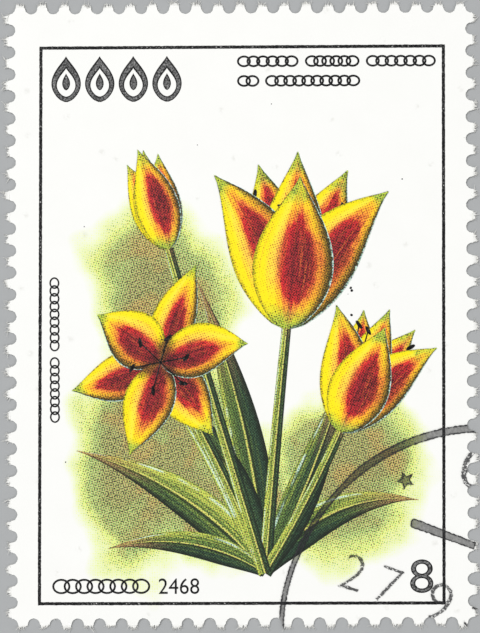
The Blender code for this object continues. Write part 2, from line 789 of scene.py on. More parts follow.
@dataclass(frozen=True)
class PaperBack:
    """Uncoated paper with the traces that soaked-off gum leaves, and painted shade in the hollows of its
    grain.
    """

    paper: Colour = (0.83, 0.82, 0.77, 1)
    gum: Colour = (0.80, 0.75, 0.60, 1)
    ghost: Colour = (0.70, 0.70, 0.67, 1)
    # painted shade: the colour that the low places of the paper's grain are darkened to
    hollow: Colour = (0.93, 0.93, 0.92, 1)
    ghost_half: Point = mm(14.4, 19.85)
    ghost_drop: float = 0.66 * MM

    def make(self) -> Material:
        """The material of the gummed side, through which the printed frame shows a little."""
        finish = Finish("paper_back", 0.75)
        height, _ = finish.grain()
        x, y, _ = finish.split(finish.where)
        inside = (abs(x) - self.ghost_half[0]).most(abs(y + self.ghost_drop) - self.ghost_half[1])
        line = abs(inside).step(0.35 * MM, 0.05 * MM)
        gummed = finish.clouds(0.16, 5).step(0.5, 0.62)
        colour = finish.paint(self.paper, (gummed, self.gum), (line * 0.35, self.ghost))
        # painted shade: where the grain's bump height is low, in its hollows, the colour is darkened
        tone = finish.ramp(height, (0.3, self.hollow), (0.65, WHITE))
        finish.set("Base Color", finish.mix(1.0, colour, tone, "MULTIPLY"))
        finish.set("Roughness", 0.82 - gummed * 0.4)
        finish.bump(height, 0.012 * MM, 0.7)
        return finish.material


@dataclass(frozen=True)
class TornPaper:
    """The fibrous core of the paper, which shows where it is torn or punched."""

    core: Colour = (0.86, 0.855, 0.82, 1)
    shade: Colour = (0.58, 0.575, 0.55, 1)

    def make(self) -> Material:
        """The material of the sheet's edge and its loose fibres."""
        finish = Finish("torn_paper", 0.9)
        height, _ = finish.grain()
        finish.set("Base Color", finish.mix(finish.clouds(16, 3).step(0.35, 0.7), self.shade, self.core))
        finish.bump(height, 0.02 * MM, 0.8)
        return finish.material


class FormFinish(Finish):
    """The finish of a printed petal, leaf or stem, which knows where on the form a point is.

    The place along the form runs from 0 to 1, and those across it and into its shaded side from -1 to 1.
    """

    def __init__(self, name: str) -> None:
        """Start the material."""
        super().__init__(name, 0.48, 0.25)
        self.along, side, _ = self.split(self.value("ShaderNodeUVMap", uv_map=UV_NAME))
        self.across = side * 2 - 1
        self.shaded = self.across * self.attribute("shaded_side")
        self.tone = self.attribute("tone")

    def lengthwise(self, length: float, width: float) -> Wire:
        """Noise drawn out along the form, different on each form."""
        parts = {0: self.along * length, 1: self.across * width, 2: self.tone * 7.3}
        return self.noise(self.value("ShaderNodeCombineXYZ", parts), 1.0, 3)


@dataclass(frozen=True)
class PetalPrint:
    """A printed petal: bright yellow at its margin, with a deep red flame in its middle."""

    bright: Colour = tint(255, 236, 8)
    sheen: Colour = tint(255, 246, 90)
    warm: Colour = tint(252, 186, 38)
    flame: Colour = tint(240, 132, 52)
    red: Colour = tint(196, 38, 40)
    crimson: Colour = tint(146, 34, 40)
    maroon: Colour = tint(92, 26, 32)
    shade: Colour = tint(88, 62, 30)
    ink: Colour = tint(26, 40, 26)
    tip: Colour = tint(96, 148, 70)
    glint: Colour = tint(196, 226, 212)

    def make(self) -> Material:
        """The material of every petal."""
        finish = FormFinish("petal_print")
        along, across, shaded = finish.along, finish.across, finish.shaded
        heart = finish.attribute("heart")
        wobble = finish.clouds(0.9) - 0.5
        uneven = (finish.clouds(6) - 0.5) * 0.14
        far = finish.length((along - finish.attribute("flush")) / 0.4, (shaded - 0.1) / 0.66)
        far = far + wobble * 0.35 + (finish.lengthwise(2.2, 7.0) - 0.5) * 0.55 - finish.tone * 0.16
        flames = finish.ramp(far * 0.5, (0.0, self.crimson), (0.2, self.crimson), (0.38, self.red),
                             (0.43, self.flame), (0.52, self.warm), (0.66, self.bright))
        deep = shaded.step(-0.3, 0.75) * far.step(1.0, 0.6)
        fine = finish.lengthwise(3.0, 20.0).step(0.52, 0.7)
        rib = abs(across).step(0.055, 0.015) * along.step(0.95, 0.5)
        sheen = abs(shaded + 0.5).step(0.26, 0.0) * along.step(0.15, 0.4)
        shade = shaded.step(0.35, 0.95)
        turned = (shaded + wobble * 0.2).step(0.45, 0.9)
        green = (along + wobble * 0.3).step(0.8, 0.97)
        core = along.step(0.26, 0.1) * heart
        stalk = (along + wobble * 0.1).step(0.17, 0.02) * (1.0 - heart)
        rim = (abs(across) + uneven).step(0.75 - shaded * 0.12, 1.0) * (shaded * 0.16 + 0.82)
        glint = (shaded + uneven).step(0.95, 1.0)
        colour = finish.paint(
            flames, (deep * 0.85, self.maroon), (fine * 0.28, self.flame), (rib * 0.5, self.maroon),
            (sheen * 0.4, self.sheen), (shade * 0.55, self.flame), (turned * 0.55, self.shade),
            (green * 0.75, self.tip), (core * 0.92, self.maroon), (stalk * 0.75, self.tip), (rim, self.ink),
            (glint * 0.85, self.glint))
        finish.set("Base Color", finish.screened(colour, 1.35))
        return finish.material


@dataclass(frozen=True)
class LeafPrint:
    """A printed leaf or stem: streaks of olive and dark green, with a pale rib and a dark shaded side."""

    name: str = "leaf_print"
    deep: Colour = tint(42, 66, 48)
    mid: Colour = tint(92, 116, 56)
    light: Colour = tint(184, 192, 84)
    dry: Colour = tint(168, 130, 86)
    rib: Colour = tint(214, 210, 110)
    ink: Colour = tint(26, 34, 26)
    glint: Colour = tint(204, 232, 218)
    rib_width: float = 0.07
    dryness: float = 0.7  # how far along the leaf its tip begins to dry

    def make(self) -> Material:
        """The material."""
        finish = FormFinish(self.name)
        along, across, shaded = finish.along, finish.across, finish.shaded
        streaks = finish.lengthwise(2.5, 6.0)
        uneven = (finish.clouds(4, 3) - 0.5) * 0.4
        level = shaded * 0.3 + streaks * 0.8 + (finish.lengthwise(5.0, 18.0) - 0.5) * 0.5 + finish.tone * 0.2
        streaky = finish.ramp(level, (0.12, self.light), (0.38, self.mid), (0.62, self.deep))
        dry = (along + streaks * 0.3).step(self.dryness, 1.2)
        beside = abs(shaded - 2 * self.rib_width).step(1.6 * self.rib_width, 0.4 * self.rib_width)
        rib = abs(across).step(self.rib_width, 0.4 * self.rib_width)
        rim = (shaded + uneven).step(0.62, 0.92)
        line = (shaded + uneven * 0.4).step(-0.9, -0.97)
        glint = abs(shaded + 0.8).step(0.1, 0.03) * finish.clouds(0.5).step(0.42, 0.6)
        colour = finish.paint(
            streaky, (dry * 0.9, self.dry), (beside * 0.75, self.ink), (rib * 0.8, self.rib),
            (rim * 0.92, self.ink), (line * 0.6, self.mid), (glint * 0.7, self.glint))
        finish.set("Base Color", finish.screened(colour, 1.35))
        return finish.material


@dataclass(frozen=True)
class BlackInk:
    """Black printing ink that has taken a little unevenly."""

    name: str = "black_ink"
    solid: Colour = (0.008, 0.008, 0.009, 1)
    thin: Colour = tint(70, 70, 70)
    bare: Colour = tint(200, 200, 198)  # the colour of the few specks that it has missed
    least: float = 0.5  # where in the ink's uneven noise it begins to thin
    most: float = 0.68
    missed: float = 0.8  # where in that noise it is missing

    def make(self) -> Material:
        """The material."""
        finish = Finish(self.name, 0.4, 0.12)
        thinned = finish.patches(self.least, self.most)
        missed = finish.patches(self.missed - 0.05, self.missed + 0.05)
        finish.set("Base Color", finish.paint(self.solid, (thinned, self.thin), (missed, self.bare)))
        return finish.material


@dataclass(frozen=True)
class PostmarkInk:
    """Thin grey-black stamping ink, darkest along the edges of its strokes."""

    name: str
    core: float  # how opaque the middle of a stroke is
    edge: float  # how opaque its edges are
    gaps: float  # how much of it is missing, from 0 to 1
    ink: Colour = (0.035, 0.035, 0.038, 1)

    def make(self) -> Material:
        """The material. What lies under thin ink shows through it."""
        finish = Finish(self.name, 0.55, 0.15)
        finish.set("Base Color", self.ink)
        rim = finish.attribute("rim").step(0.05, 0.4) * finish.patches(0.36, 0.46)
        cover = rim * (self.edge - self.core) + self.core
        mottle = finish.patches(0.4, 0.6) * 0.2 + 0.9
        kept = finish.patches(0.86 - self.gaps, 0.74 - self.gaps)
        finish.set("Alpha", cover * mottle * kept)
        return finish.material


@dataclass(frozen=True)
class FloorFinish:
    """A plain pale table top."""

    pale: Colour = tint(172, 174, 175)

    def make(self) -> Material:
        """The material."""
        finish = Finish("floor_finish", 0.8)
        darker = (*(0.96 * part for part in self.pale[:3]), 1)
        finish.set("Base Color", finish.ramp(finish.clouds(0.8), (0.3, darker), (0.7, self.pale)))
        return finish.material


@dataclass
class StampSheet:
    """The perforated sheet, torn from its neighbours along the holes."""

    columns: int = 21
    rows: int = 28
    grid_width: float = 33.0 * MM
    hole_radius: float = 0.435 * MM
    arc_steps: int = 18
    reach: float = 0.42 * MM
    shortest: float = 0.45
    lowest: float = 0.7
    tip_places: tuple[float, ...] = (0.16, 0.5, 0.82)
    seed: int = 12
    tip_steps: int = 4  # finer points between two points of a torn tip
    ragged: float = 0.13 * MM
    body: float = 0.86  # how far the tooth itself reaches, as a share of its fibres' reach
    punch: float = 0.015 * MM  # how uneven the edges of the holes are
    split_line: float = 0.05 * MM  # how far past the holes' middles the torn tips begin to thin
    split: Point = (0.15, 0.55)  # the least and the most that a torn tip thins, as shares of the paper
    fibres: int = 18  # loose fibres on each tooth
    whiskers: int = 170  # loose fibres in the holes
    fibre_length: Point = mm(0.08, 0.28)
    fibre_radius: float = 0.021 * MM
    tufts: float = 0.2  # the share of the fibres that are thicker and longer
    tuft: float = 1.7  # how much thicker and longer they are
    lowest_fibre: float = 0.002 * MM
    # where each tooth ends and which way it points, and the same for the edges of the holes
    tips: list[tuple[Point, Point]] = field(default_factory=list)
    arcs: list[tuple[Point, Point]] = field(default_factory=list)

    @property
    def pitch(self) -> float:
        """The distance from hole to hole."""
        return self.grid_width / self.columns

    @property
    def hole_lines(self) -> Point:
        """How far the lines of hole centres lie from the sheet's middle, to the sides and up and down."""
        return self.grid_width / 2, self.pitch * self.rows / 2

    def _torn_tips(self, count: int, draw: random.Random) -> list[list[float]]:
        """How far the torn teeth of one side reach past the line of hole centres."""
        teeth = []
        for _ in range(count):
            reach = draw.uniform(self.shortest, 1)
            teeth.append([reach * draw.uniform(self.lowest, 1) for _ in self.tip_places])
        stretch = self.reach / max(max(tips) for tips in teeth)
        return [[stretch * tip for tip in tips] for tips in teeth]

    def _ragged_tip(self, tips: Sequence[float], fine: random.Random) -> list[Point]:
        """The torn line between two holes, as (forward, outward) steps from the hole before it."""
        width = self.pitch - 2 * self.hole_radius
        knots = [(0.0, 0.0), *zip(self.tip_places, tips), (1.0, 0.0)]
        line = []
        for (before, low), (after, high) in zip(knots, knots[1:]):
            for step in range(self.tip_steps):
                share = step / self.tip_steps
                out = self.body * (low + (high - low) * share)
                if line:
                    out += fine.uniform(-self.ragged, self.ragged)
                forward = before + (after - before) * share
                line.append((self.hole_radius + forward * width, max(0, min(out, self.reach))))
        return line[1:]

    def _outline(self) -> list[Point]:
        """The sheet's outline, anticlockwise from its lower left corner hole."""
        draw, fine = random.Random(self.seed), random.Random(self.seed + 1)
        right, top = self.hole_lines
        sides = (
            ((-right, -top), (1, 0), self.columns),
            ((right, -top), (0, 1), self.rows),
            ((right, top), (-1, 0), self.columns),
            ((-right, top), (0, -1), self.rows),
        )
        outline = []
        for corner, along, steps in sides:
            out = (along[1], -along[0])

            def spot(forward: float, outward: float) -> Point:
                """The point this far along the side and this far out from it."""
                return (
                    corner[0] + forward * along[0] + outward * out[0],
                    corner[1] + forward * along[1] + outward * out[1],
                )

            for step, tips in enumerate(self._torn_tips(steps, draw)):
                start = step * self.pitch
                torn = [spot(start + forward, outward) for forward, outward in self._ragged_tip(tips, fine)]
                outline += torn
                self.tips += [(point, out) for point in torn]
                turn = math.pi if step < steps - 1 else math.pi / 2
                count = round(self.arc_steps * turn / math.pi)
                for part in range(count + 1):
                    angle = turn * part / count
                    back, inward = math.cos(angle), math.sin(angle)
                    radius = self.hole_radius + fine.uniform(-self.punch, self.punch)
                    on_arc = spot(start + self.pitch - radius * back, -radius * inward)
                    outline.append(on_arc)
                    way = (back * along[0] + inward * out[0], back * along[1] + inward * out[1])
                    self.arcs.append((on_arc, way))
        return outline

    def cutter(self) -> Piece:
        """A tall prism of the sheet's outline, with which the sheet and the ink at its edge are cut."""
        outline = self._outline()
        curve = bpy.data.curves.new("sheet_cutter", "CURVE")
        curve.dimensions = "2D"
        curve.fill_mode = "BOTH"
        spline = curve.splines.new("POLY")
        spline.points.add(len(outline) - 1)
        for point, spot in zip(spline.points, outline):
            point.co = (*spot, 0, 1)
        spline.use_cyclic_u = True
        prism = bpy.data.objects.new("sheet_cutter", curve)
        bpy.context.scene.collection.objects.link(prism)
        take(prism)
        bpy.ops.object.convert(target="MESH")
        with editing(prism):
            bpy.ops.mesh.remove_doubles(threshold=0.0005 * MM)
            bpy.ops.mesh.dissolve_faces()
        thicken(prism, -MM, MM)
        return prism

    def build(self, cutter: Piece) -> Piece:
        """Model the sheet as a slab on the shared grid, cut to its outline.

        Args:
            cutter: the prism of its outline.

        Returns:
            The finished sheet, with its front, back and edge faces in three material slots.
        """
        cells = [2 * math.ceil((line + self.reach) / GRID_STEP) for line in self.hole_lines]
        sheet = added("stamp_sheet", bpy.ops.mesh.primitive_grid_add, size=1, x_subdivisions=cells[0],
                      y_subdivisions=cells[1])
        place(sheet, scale=(cells[0] * GRID_STEP, cells[1] * GRID_STEP))
        with editing(sheet):
            for axis, line in enumerate(self.hole_lines):
                for side in (-1, 1):
                    cut_across(axis, line + self.split_line, side)
        thicken(sheet, 0, PAPER_THICKNESS)
        keep_inside(sheet, cutter)
        even_triangles(sheet)
        for polygon in sheet.data.polygons:
            polygon.material_index = 0 if polygon.normal.z > 0.5 else 1 if polygon.normal.z < -0.5 else 2
        self._feather(sheet)
        cockle(sheet)
        for finish in (PaperFront(), PaperBack(), TornPaper()):
            sheet.data.materials.append(finish.make())
        smooth_faces(sheet, 35)
        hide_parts(NODE)
        return dressed(sheet)

    def _feather(self, sheet: Piece) -> None:
        """Thin the torn tips, as paper that is pulled apart splits in its thickness."""
        draw = random.Random(self.seed + 2)
        ends = {(round(x / MM, 4), round(y / MM, 4)) for (x, y), _ in self.tips}
        for vertex in sheet.data.vertices:
            if (round(vertex.co.x / MM, 4), round(vertex.co.y / MM, 4)) in ends:
                share = draw.uniform(*self.split)
                vertex.co.z += -share * PAPER_THICKNESS if vertex.co.z > PAPER_THICKNESS / 2 else 0

    def _fibre(self) -> Piece:
        """One curved, tapering fibre of unit length and radius, standing at the origin."""
        fibre = added("torn_fibre", bpy.ops.mesh.primitive_cone_add, vertices=4, radius1=1, radius2=0.3,
                      depth=1, location=(0, 0, 0.5))
        settle_place(fibre)
        with editing(fibre):
            for height in (0.35, 0.7):
                cut_across(2, height)
        for above, shift in ((0.2, 0.4), (0.5, 1.0), (0.9, 1.8)):
            select_where(fibre, lambda co: co.z > above)
            with editing(fibre, everything=False):
                bpy.ops.transform.translate(value=(shift, 0, 0))
        return fibre

    def build_fibres(self) -> Piece:
        """Model the loose fibres that stand out of the torn tips and into the holes.

        Returns:
            One piece with every fibre.
        """
        draw = random.Random(self.seed + 3)
        fibre = self._fibre()
        points = 4 * self.tip_steps - 1
        roots = []
        for first in range(0, len(self.tips), points):
            ends = self.tips[first + 1:first + points - 1]
            roots += [(*draw.choice(ends), self.fibre_length) for _ in range(self.fibres)]
        short = tuple(0.6 * length for length in self.fibre_length)
        roots += [(*root, short) for root in draw.sample(self.arcs, self.whiskers)]
        copies = []
        for spot, out, lengths in roots:
            length = draw.uniform(*lengths)
            bold = self.tuft if draw.random() < self.tufts else 1.0
            heading = Vector((*out, 0))
            heading.rotate(Euler((0, 0, draw.uniform(-1.5, 1.5))))
            heading.z = draw.uniform(-0.1, 0.3)
            start = Vector((*spot, PAPER_THICKNESS * draw.uniform(0.45, 0.8))) - heading * 0.04 * MM
            turn = heading.to_track_quat("Z", "Y").to_matrix().to_4x4()
            twist = Matrix.Rotation(draw.uniform(0, math.tau), 4, "Z")
            thick = self.fibre_radius * draw.uniform(0.5, 1.2) * bold
            scale = Matrix.Diagonal((thick, thick, length * bold, 1))
            copies.append(copy_of(fibre, "torn_fibre"))
            copies[-1].data.transform(Matrix.Translation(start) @ turn @ twist @ scale)
        bpy.data.objects.remove(fibre)
        fibres = join(copies, "torn_fibres")
        for vertex in fibres.data.vertices:
            vertex.co.z = max(vertex.co.z, self.lowest_fibre)
        cockle(fibres)
        return dressed(fibres, bpy.data.materials["torn_paper"])


class Form(Enum):
    """The kinds of flat form that the picture is drawn with."""

    PETAL = "petal"
    LEAF = "leaf"
    STEM = "stem"


@dataclass(frozen=True)
class Stroke:
    """One drawn form: what it is, where it starts, and how it runs."""

    form: Form
    name: str
    layer: int
    at: Point
    turn: float  # the way that it starts off, in radians
    size: Point  # its length and its greatest width
    bend: float = 0.0  # how far it turns by its far end, in radians
    tone: float = 0.0  # paler below zero and deeper above
    flush: float = 0.42  # how far along a petal its flame is centred
    heart: float = 0.0  # whether a petal is green at its root, at 0, or dark, at 1

    @property
    def shaded_side(self) -> float:
        """Which side of the form is turned from the light, which comes from the upper left."""
        return -math.copysign(1.0, math.cos(self.turn + self.bend / 2 - math.radians(45)))

    @staticmethod
    def between(form: Form, name: str, layer: int, start: Point, end: Point, arrival: float, width: float,
                tone: float = 0.0) -> "Stroke":
        """A stroke that runs on one arc from its start to its end.

        Args:
            form: the kind of form.
            name: its name.
            layer: its place in the order of printing.
            start: where it starts.
            end: where it ends.
            arrival: the way that it points there, in radians.
            width: its greatest width.
            tone: paler below zero and deeper above.

        Returns:
            The stroke.
        """
        chord = Vector(end) - Vector(start)
        way = math.atan2(chord.y, chord.x)
        half = math.remainder(arrival - way, 2 * math.pi)
        length = chord.length * half / math.sin(half) if abs(half) > 0.001 else chord.length
        return Stroke(form, name, layer, start, way - half, (length, width), 2 * half, tone)


@dataclass
class Brush:
    """Models each kind of drawn form once, and prints copies of it."""

    columns: int = 24
    lanes: int = 10
    masters: dict[Form, Piece] = field(default_factory=dict)
    finishes: dict[Form, Material] = field(default_factory=dict)

    @staticmethod
    def _half_width(form: Form, along: float) -> float:
        """How wide a form is at a place along it, as a share of its greatest width."""
        if form is Form.STEM:
            return 1 - 0.3 * along
        widest, root, swell, point = (0.4, 0.1, 0.62, 1.1) if form is Form.PETAL else (0.34, 0.3, 1.0, 1.2)
        if along < widest:
            return root + (1 - root) * math.sin(math.pi / 2 * along / widest) ** swell
        share = (along - widest) / (1 - widest)
        return max(math.cos(math.pi / 2 * share) ** point, 0.015)

    def master(self, form: Form) -> Piece:
        """The form one unit long and one unit wide, lying along +X from the origin."""
        if form in self.masters:
            return self.masters[form]
        made = added(f"{form.value}_master", bpy.ops.mesh.primitive_grid_add, x_subdivisions=self.columns,
                     y_subdivisions=self.lanes, size=1, location=(0.5, 0, 0))
        settle_place(made)
        for column in range(self.columns + 1):
            along = column / self.columns
            select_where(made, lambda co: abs(co.x - along) < 0.2 / self.columns)
            width = self._half_width(form, along)
            with editing(made, everything=False):
                bpy.ops.transform.resize(value=(1, width, 1), center_override=(along, 0, 0))
        self.masters[form] = made
        return made

    def finish(self, form: Form) -> Material:
        """The printed finish of a kind of form."""
        if form not in self.finishes:
            self.finishes[form] = {
                Form.PETAL: PetalPrint(),
                Form.LEAF: LeafPrint(),
                Form.STEM: LeafPrint(name="stem_print", rib_width=0.16, dryness=1.1),
            }[form].make()
        return self.finishes[form]

    def draw(self, stroke: Stroke, squash: Union[Matrix, None] = None) -> Piece:
        """Print one form.

        Args:
            stroke: the form.
            squash: how the form is foreshortened about its start, if it is.

        Returns:
            The finished piece.
        """
        piece = place(copy_of(self.master(stroke.form), stroke.name), scale=stroke.size)
        if stroke.bend:
            modifier = piece.modifiers.new("bend", "SIMPLE_DEFORM")
            modifier.deform_method = "BEND"
            modifier.deform_axis = "Z"
            modifier.angle = stroke.bend
            apply_modifiers(piece)
        place(piece, turn=stroke.turn)
        if squash is not None:
            piece.data.transform(squash)
        place(piece, at=stroke.at)
        for name in ("tone", "flush", "heart", "shaded_side"):
            store(piece, name, lambda _: getattr(stroke, name))
        return printed(piece, stroke.layer, self.finish(stroke.form))

    def clean(self) -> None:
        """Remove the masters."""
        for made in self.masters.values():
            bpy.data.objects.remove(made)
        self.masters.clear()


@dataclass
class Stamens:
    """The dark stamens of one flower."""

    name: str
    centre: Point
    reach: float
    heading: float  # the way that they lean, in degrees
    spread: float
    layer: int
    count: int = 6
    thread: float = 0.1 * MM
    anther: Point = mm(0.72, 0.27)
    seed: int = 4

    def build(self, ink: Material) -> Piece:
        """Print the stamens as one piece of black ink."""
        draw = random.Random(self.seed)
        pieces = []
        for index in range(self.count):
            share = index / (self.count - 1) - 0.5
            turn = math.radians(self.heading + share * self.spread + draw.uniform(-4, 4))
            length = self.reach * draw.uniform(0.82, 1.05)
            thread = place(flat_bar("thread", length, self.thread), at=(length / 2, 0))
            anther = flat_disc("anther", *self.anther, 14)
            place(anther, at=(length, 0), turn=draw.uniform(0.3, 1.0) * draw.choice((-1, 1)))
            pieces += [place(place(piece, turn=turn), at=self.centre) for piece in (thread, anther)]
        stamens = join(pieces, self.name)
        cut_along_grid(stamens)
        return printed(stamens, self.layer, ink)


@dataclass
class OpenBloom:
    """One wide open flower of the picture, seen a little from the side."""

    name: str
    centre: Point
    radius: float
    first: float  # the way its first petal points, in degrees
    lean: float  # the way it is turned from the viewer, in degrees
    squash: float  # how far it is foreshortened that way
    layer: int
    petals: int = 6
    seed: int = 1

    def build(self, brush: Brush, ink: Material) -> list[Piece]:
        """Print the flower's petals, the outer ring first, and then its stamens."""
        draw = random.Random(self.seed)
        turn = Matrix.Rotation(math.radians(self.lean), 4, "Z")
        squash = turn @ Matrix.Diagonal((self.squash, 1, 1, 1)) @ turn.inverted()
        pieces = []
        for above, petal in enumerate((*range(0, self.petals, 2), *range(1, self.petals, 2))):
            inner = petal % 2
            heading = math.radians(self.first + 360 / self.petals * petal + draw.uniform(-6, 6))
            length = self.radius * draw.uniform(0.95, 1.04) * (0.95 if inner else 1)
            width = self.radius * draw.uniform(0.47, 0.53) * (1.12 if inner else 1)
            bend, tone = math.radians(draw.uniform(-26, 26)), draw.uniform(-0.6, 0.6)
            stroke = Stroke(Form.PETAL, f"{self.name}_petal_{petal + 1}", self.layer + above, self.centre,
                            heading, (length, width), bend, tone, flush=0.36, heart=1.0)
            pieces.append(brush.draw(stroke, squash))
        stamens = Stamens(f"{self.name}_stamens", self.centre, 0.3 * self.radius, self.first + 30, 300,
                          self.layer + self.petals, seed=self.seed)
        return [*pieces, stamens.build(ink)]


@dataclass
class CupBloom:
    """One flower of the picture seen from the side, its petals in a cup that flares at their tips."""

    name: str
    foot: Point
    heading: float  # degrees
    length: float
    layer: int
    open: float = 1.0  # how far its petals spread
    # where each petal starts off and how far it bends, in degrees, its length and width as shares of the
    # flower's length, and how deep its flame is
    back: tuple[tuple[float, float, float, float, float], ...] = (
        (-9, -13, 0.96, 0.4, 1.0), (9, 13, 0.94, 0.4, 1.0), (1, 2, 1.0, 0.4, 0.8),
    )
    front: tuple[tuple[float, float, float, float, float], ...] = (
        (-14, -34, 0.98, 0.4, 0.1), (14, 34, 0.97, 0.4, -0.1), (-1, 3, 0.86, 0.46, -0.5),
    )
    has_stamens: bool = True
    seed: int = 1

    def _petals(self, brush: Brush, ring: str, first_layer: int) -> list[Piece]:
        """Print one ring of petals, the back one or the front one."""
        pieces = []
        for index, (lean, bend, long, wide, tone) in enumerate(getattr(self, ring)):
            stroke = Stroke(
                Form.PETAL, f"{self.name}_{ring}_petal_{index + 1}", first_layer + index, self.foot,
                math.radians(self.heading + lean * self.open), (self.length * long, self.length * wide),
                math.radians(bend * self.open), tone, 0.45)
            pieces.append(brush.draw(stroke))
        return pieces

    def build(self, brush: Brush, ink: Material) -> list[Piece]:
        """Print the flower from the back forward."""
        pieces = self._petals(brush, "back", self.layer)
        if self.has_stamens:
            stamens = Stamens(f"{self.name}_stamens", self.foot, 0.8 * self.length, self.heading,
                              34 * self.open, self.layer + len(self.back), seed=self.seed)
            pieces.append(stamens.build(ink))
        return pieces + self._petals(brush, "front", self.layer + len(self.back) + 1)


@dataclass
class FlowerPicture:
    """The printed picture: a generic spray of flowers, buds and leaves."""

    brush: Brush = field(default_factory=Brush)
    root: Point = mm(1.6, -18.4)
    leaves: tuple[tuple[Point, float, float, float], ...] = (
        # where the tip is, the way it points there, width, tone
        (mm(-3.2, 2.6), 112, 2.6, 0.6),
        (mm(12.6, -13.2), -8, 2.5, 0.1),
        (mm(-11.8, -9.6), 166, 2.7, -0.2),
        (mm(-9.6, -16.6), 196, 1.9, 0.4),
        (mm(7.6, -3.4), 74, 2.5, 0.9),
        (mm(-7.2, -3.6), 140, 2.4, 0.2),
    )
    stem_width: float = 0.95 * MM
    blooms: tuple[Union[OpenBloom, CupBloom], ...] = (
        CupBloom("tall_bloom", mm(3.2, -0.9), 84, 12.6 * MM, 14, 1.0, seed=3),
        CupBloom("right_bloom", mm(7.0, -8.3), 66, 9.4 * MM, 14, 0.82, seed=8),
        OpenBloom("open_bloom", mm(-5.8, -3.3), 7.3 * MM, 74, 150, 0.84, 14, seed=6),
    )
    buds: tuple[CupBloom, ...] = (
        CupBloom(
            "left_bud", mm(-5.2, 4.8), 106, 7.4 * MM, 14,
            back=((-9, -2, 0.92, 0.36, 0.7), (9, 2, 0.9, 0.36, 0.7)),
            front=((5, -14, 0.98, 0.4, 0.2), (-4, 10, 1.0, 0.42, -0.3)),
            has_stamens=False),
    )

    def _stem(self, bloom: Union[OpenBloom, CupBloom], index: int) -> Stroke:
        """The stem that carries a flower."""
        if isinstance(bloom, CupBloom):
            end, arrival = bloom.foot, math.radians(bloom.heading)
        else:
            end, arrival = bloom.centre, math.radians(122)
        return Stroke.between(
            Form.STEM, f"{bloom.name}_stem", 8 + index, self.root, end, arrival, self.stem_width)

    def build(self, ink: Material) -> list[Piece]:
        """Print the whole picture, from its leaves up.

        Returns:
            Its pieces.
        """
        pieces = []
        for index, (tip, arrival, width, tone) in enumerate(self.leaves):
            leaf = Stroke.between(Form.LEAF, f"leaf_{index + 1}", 1 + index, self.root, tip,
                                  math.radians(arrival), width * MM, tone)
            pieces.append(self.brush.draw(leaf))
        flowers = (*self.blooms, *self.buds)
        for index, flower in enumerate(flowers):
            pieces.append(self.brush.draw(self._stem(flower, index)))
        for flower in flowers:
            pieces += flower.build(self.brush, ink)
        self.brush.clean()
        return pieces


@dataclass
class PrintedFrame:
    """The plain black line round the picture, whose ink is worn along its middle."""

    width: float = 28.8 * MM
    height: float = 39.75 * MM
    centre: Point = mm(0.03, -0.68)
    line: float = 0.225 * MM
    core: float = 0.07 * MM  # how wide its worn middle is
    uneven: float = 0.006 * MM
    layer: int = 2
    turn: float = -0.15  # degrees
    # how far each corner strays, anticlockwise from the lower left one
    strays: tuple[Point, ...] = (mm(-0.1, 0.012), mm(-0.012, 0.026), mm(0.006, 0.034), mm(0.086, -0.074))

    def _stray(self, frame: Piece) -> None:
        """Move each point of the frame with the corners next to it."""
        for vertex in frame.data.vertices:
            right, up = vertex.co.x / self.width + 0.5, vertex.co.y / self.height + 0.5
            shares = ((1 - right) * (1 - up), right * (1 - up), right * up, (1 - right) * up)
            for share, corner in zip(shares, self.strays):
                vertex.co += share * Vector((*corner, 0))

    def _line(self, name: str, line: float, layer: int, ink: Material) -> Piece:
        """Print a line of this width all round."""
        frame = flat_bar(name, self.width + line, self.height + line)
        hollow(frame, line)
        cut_along_grid(frame)
        self._stray(frame)
        place(frame, at=self.centre, turn=math.radians(self.turn))
        roughen(frame, self.uneven)
        return printed(frame, layer, ink)

    def build(self, ink: Material, worn: Material) -> list[Piece]:
        """Print the line and its worn middle."""
        return [self._line("frame_line", self.line, self.layer, ink),
                self._line("frame_line_core", self.core, self.layer + 1, worn)]


@dataclass
class ChainBand:
    """A line of interlaced ovals, the size of small type, in groups with gaps."""

    name: str
    start: Point
    groups: tuple[tuple[float, float], ...]  # where each group starts and ends along the line, in millimetres
    height: float = 0.84 * MM
    stroke: float = 0.145 * MM
    link: float = 1.0 * MM  # how wide one oval is
    lap: float = 0.36  # how much of an oval its neighbour overlaps
    turn: float = 0.0  # degrees
    layer: int = 2

    def build(self, ink: Material) -> Piece:
        """Print the band. Neighbouring ovals lie in two layers, so that their faces don't coincide."""
        rows: tuple[list, list] = ([], [])
        first = flat_disc("link", self.link, self.height, 24)
        hollow(first, self.stroke)
        for low, high in self.groups:
            reach = (high - low) * MM
            count = max(1, round((reach / self.link - self.lap) / (1 - self.lap)))
            step = (reach - self.link) / max(1, count - 1)
            for index in range(count):
                spot = (low * MM + self.link / 2 + index * step, 0)
                rows[index % 2].append(place(copy_of(first, "link_copy"), at=spot))
        bpy.data.objects.remove(first)
        layers = []
        for index, links in enumerate(rows):
            row = join(links, self.name)
            place(row, turn=math.radians(self.turn))
            place(row, at=self.start)
            cut_along_grid(row)
            print_film(row, self.layer + index)
            layers.append(row)
        return dressed(join(layers, self.name), ink)


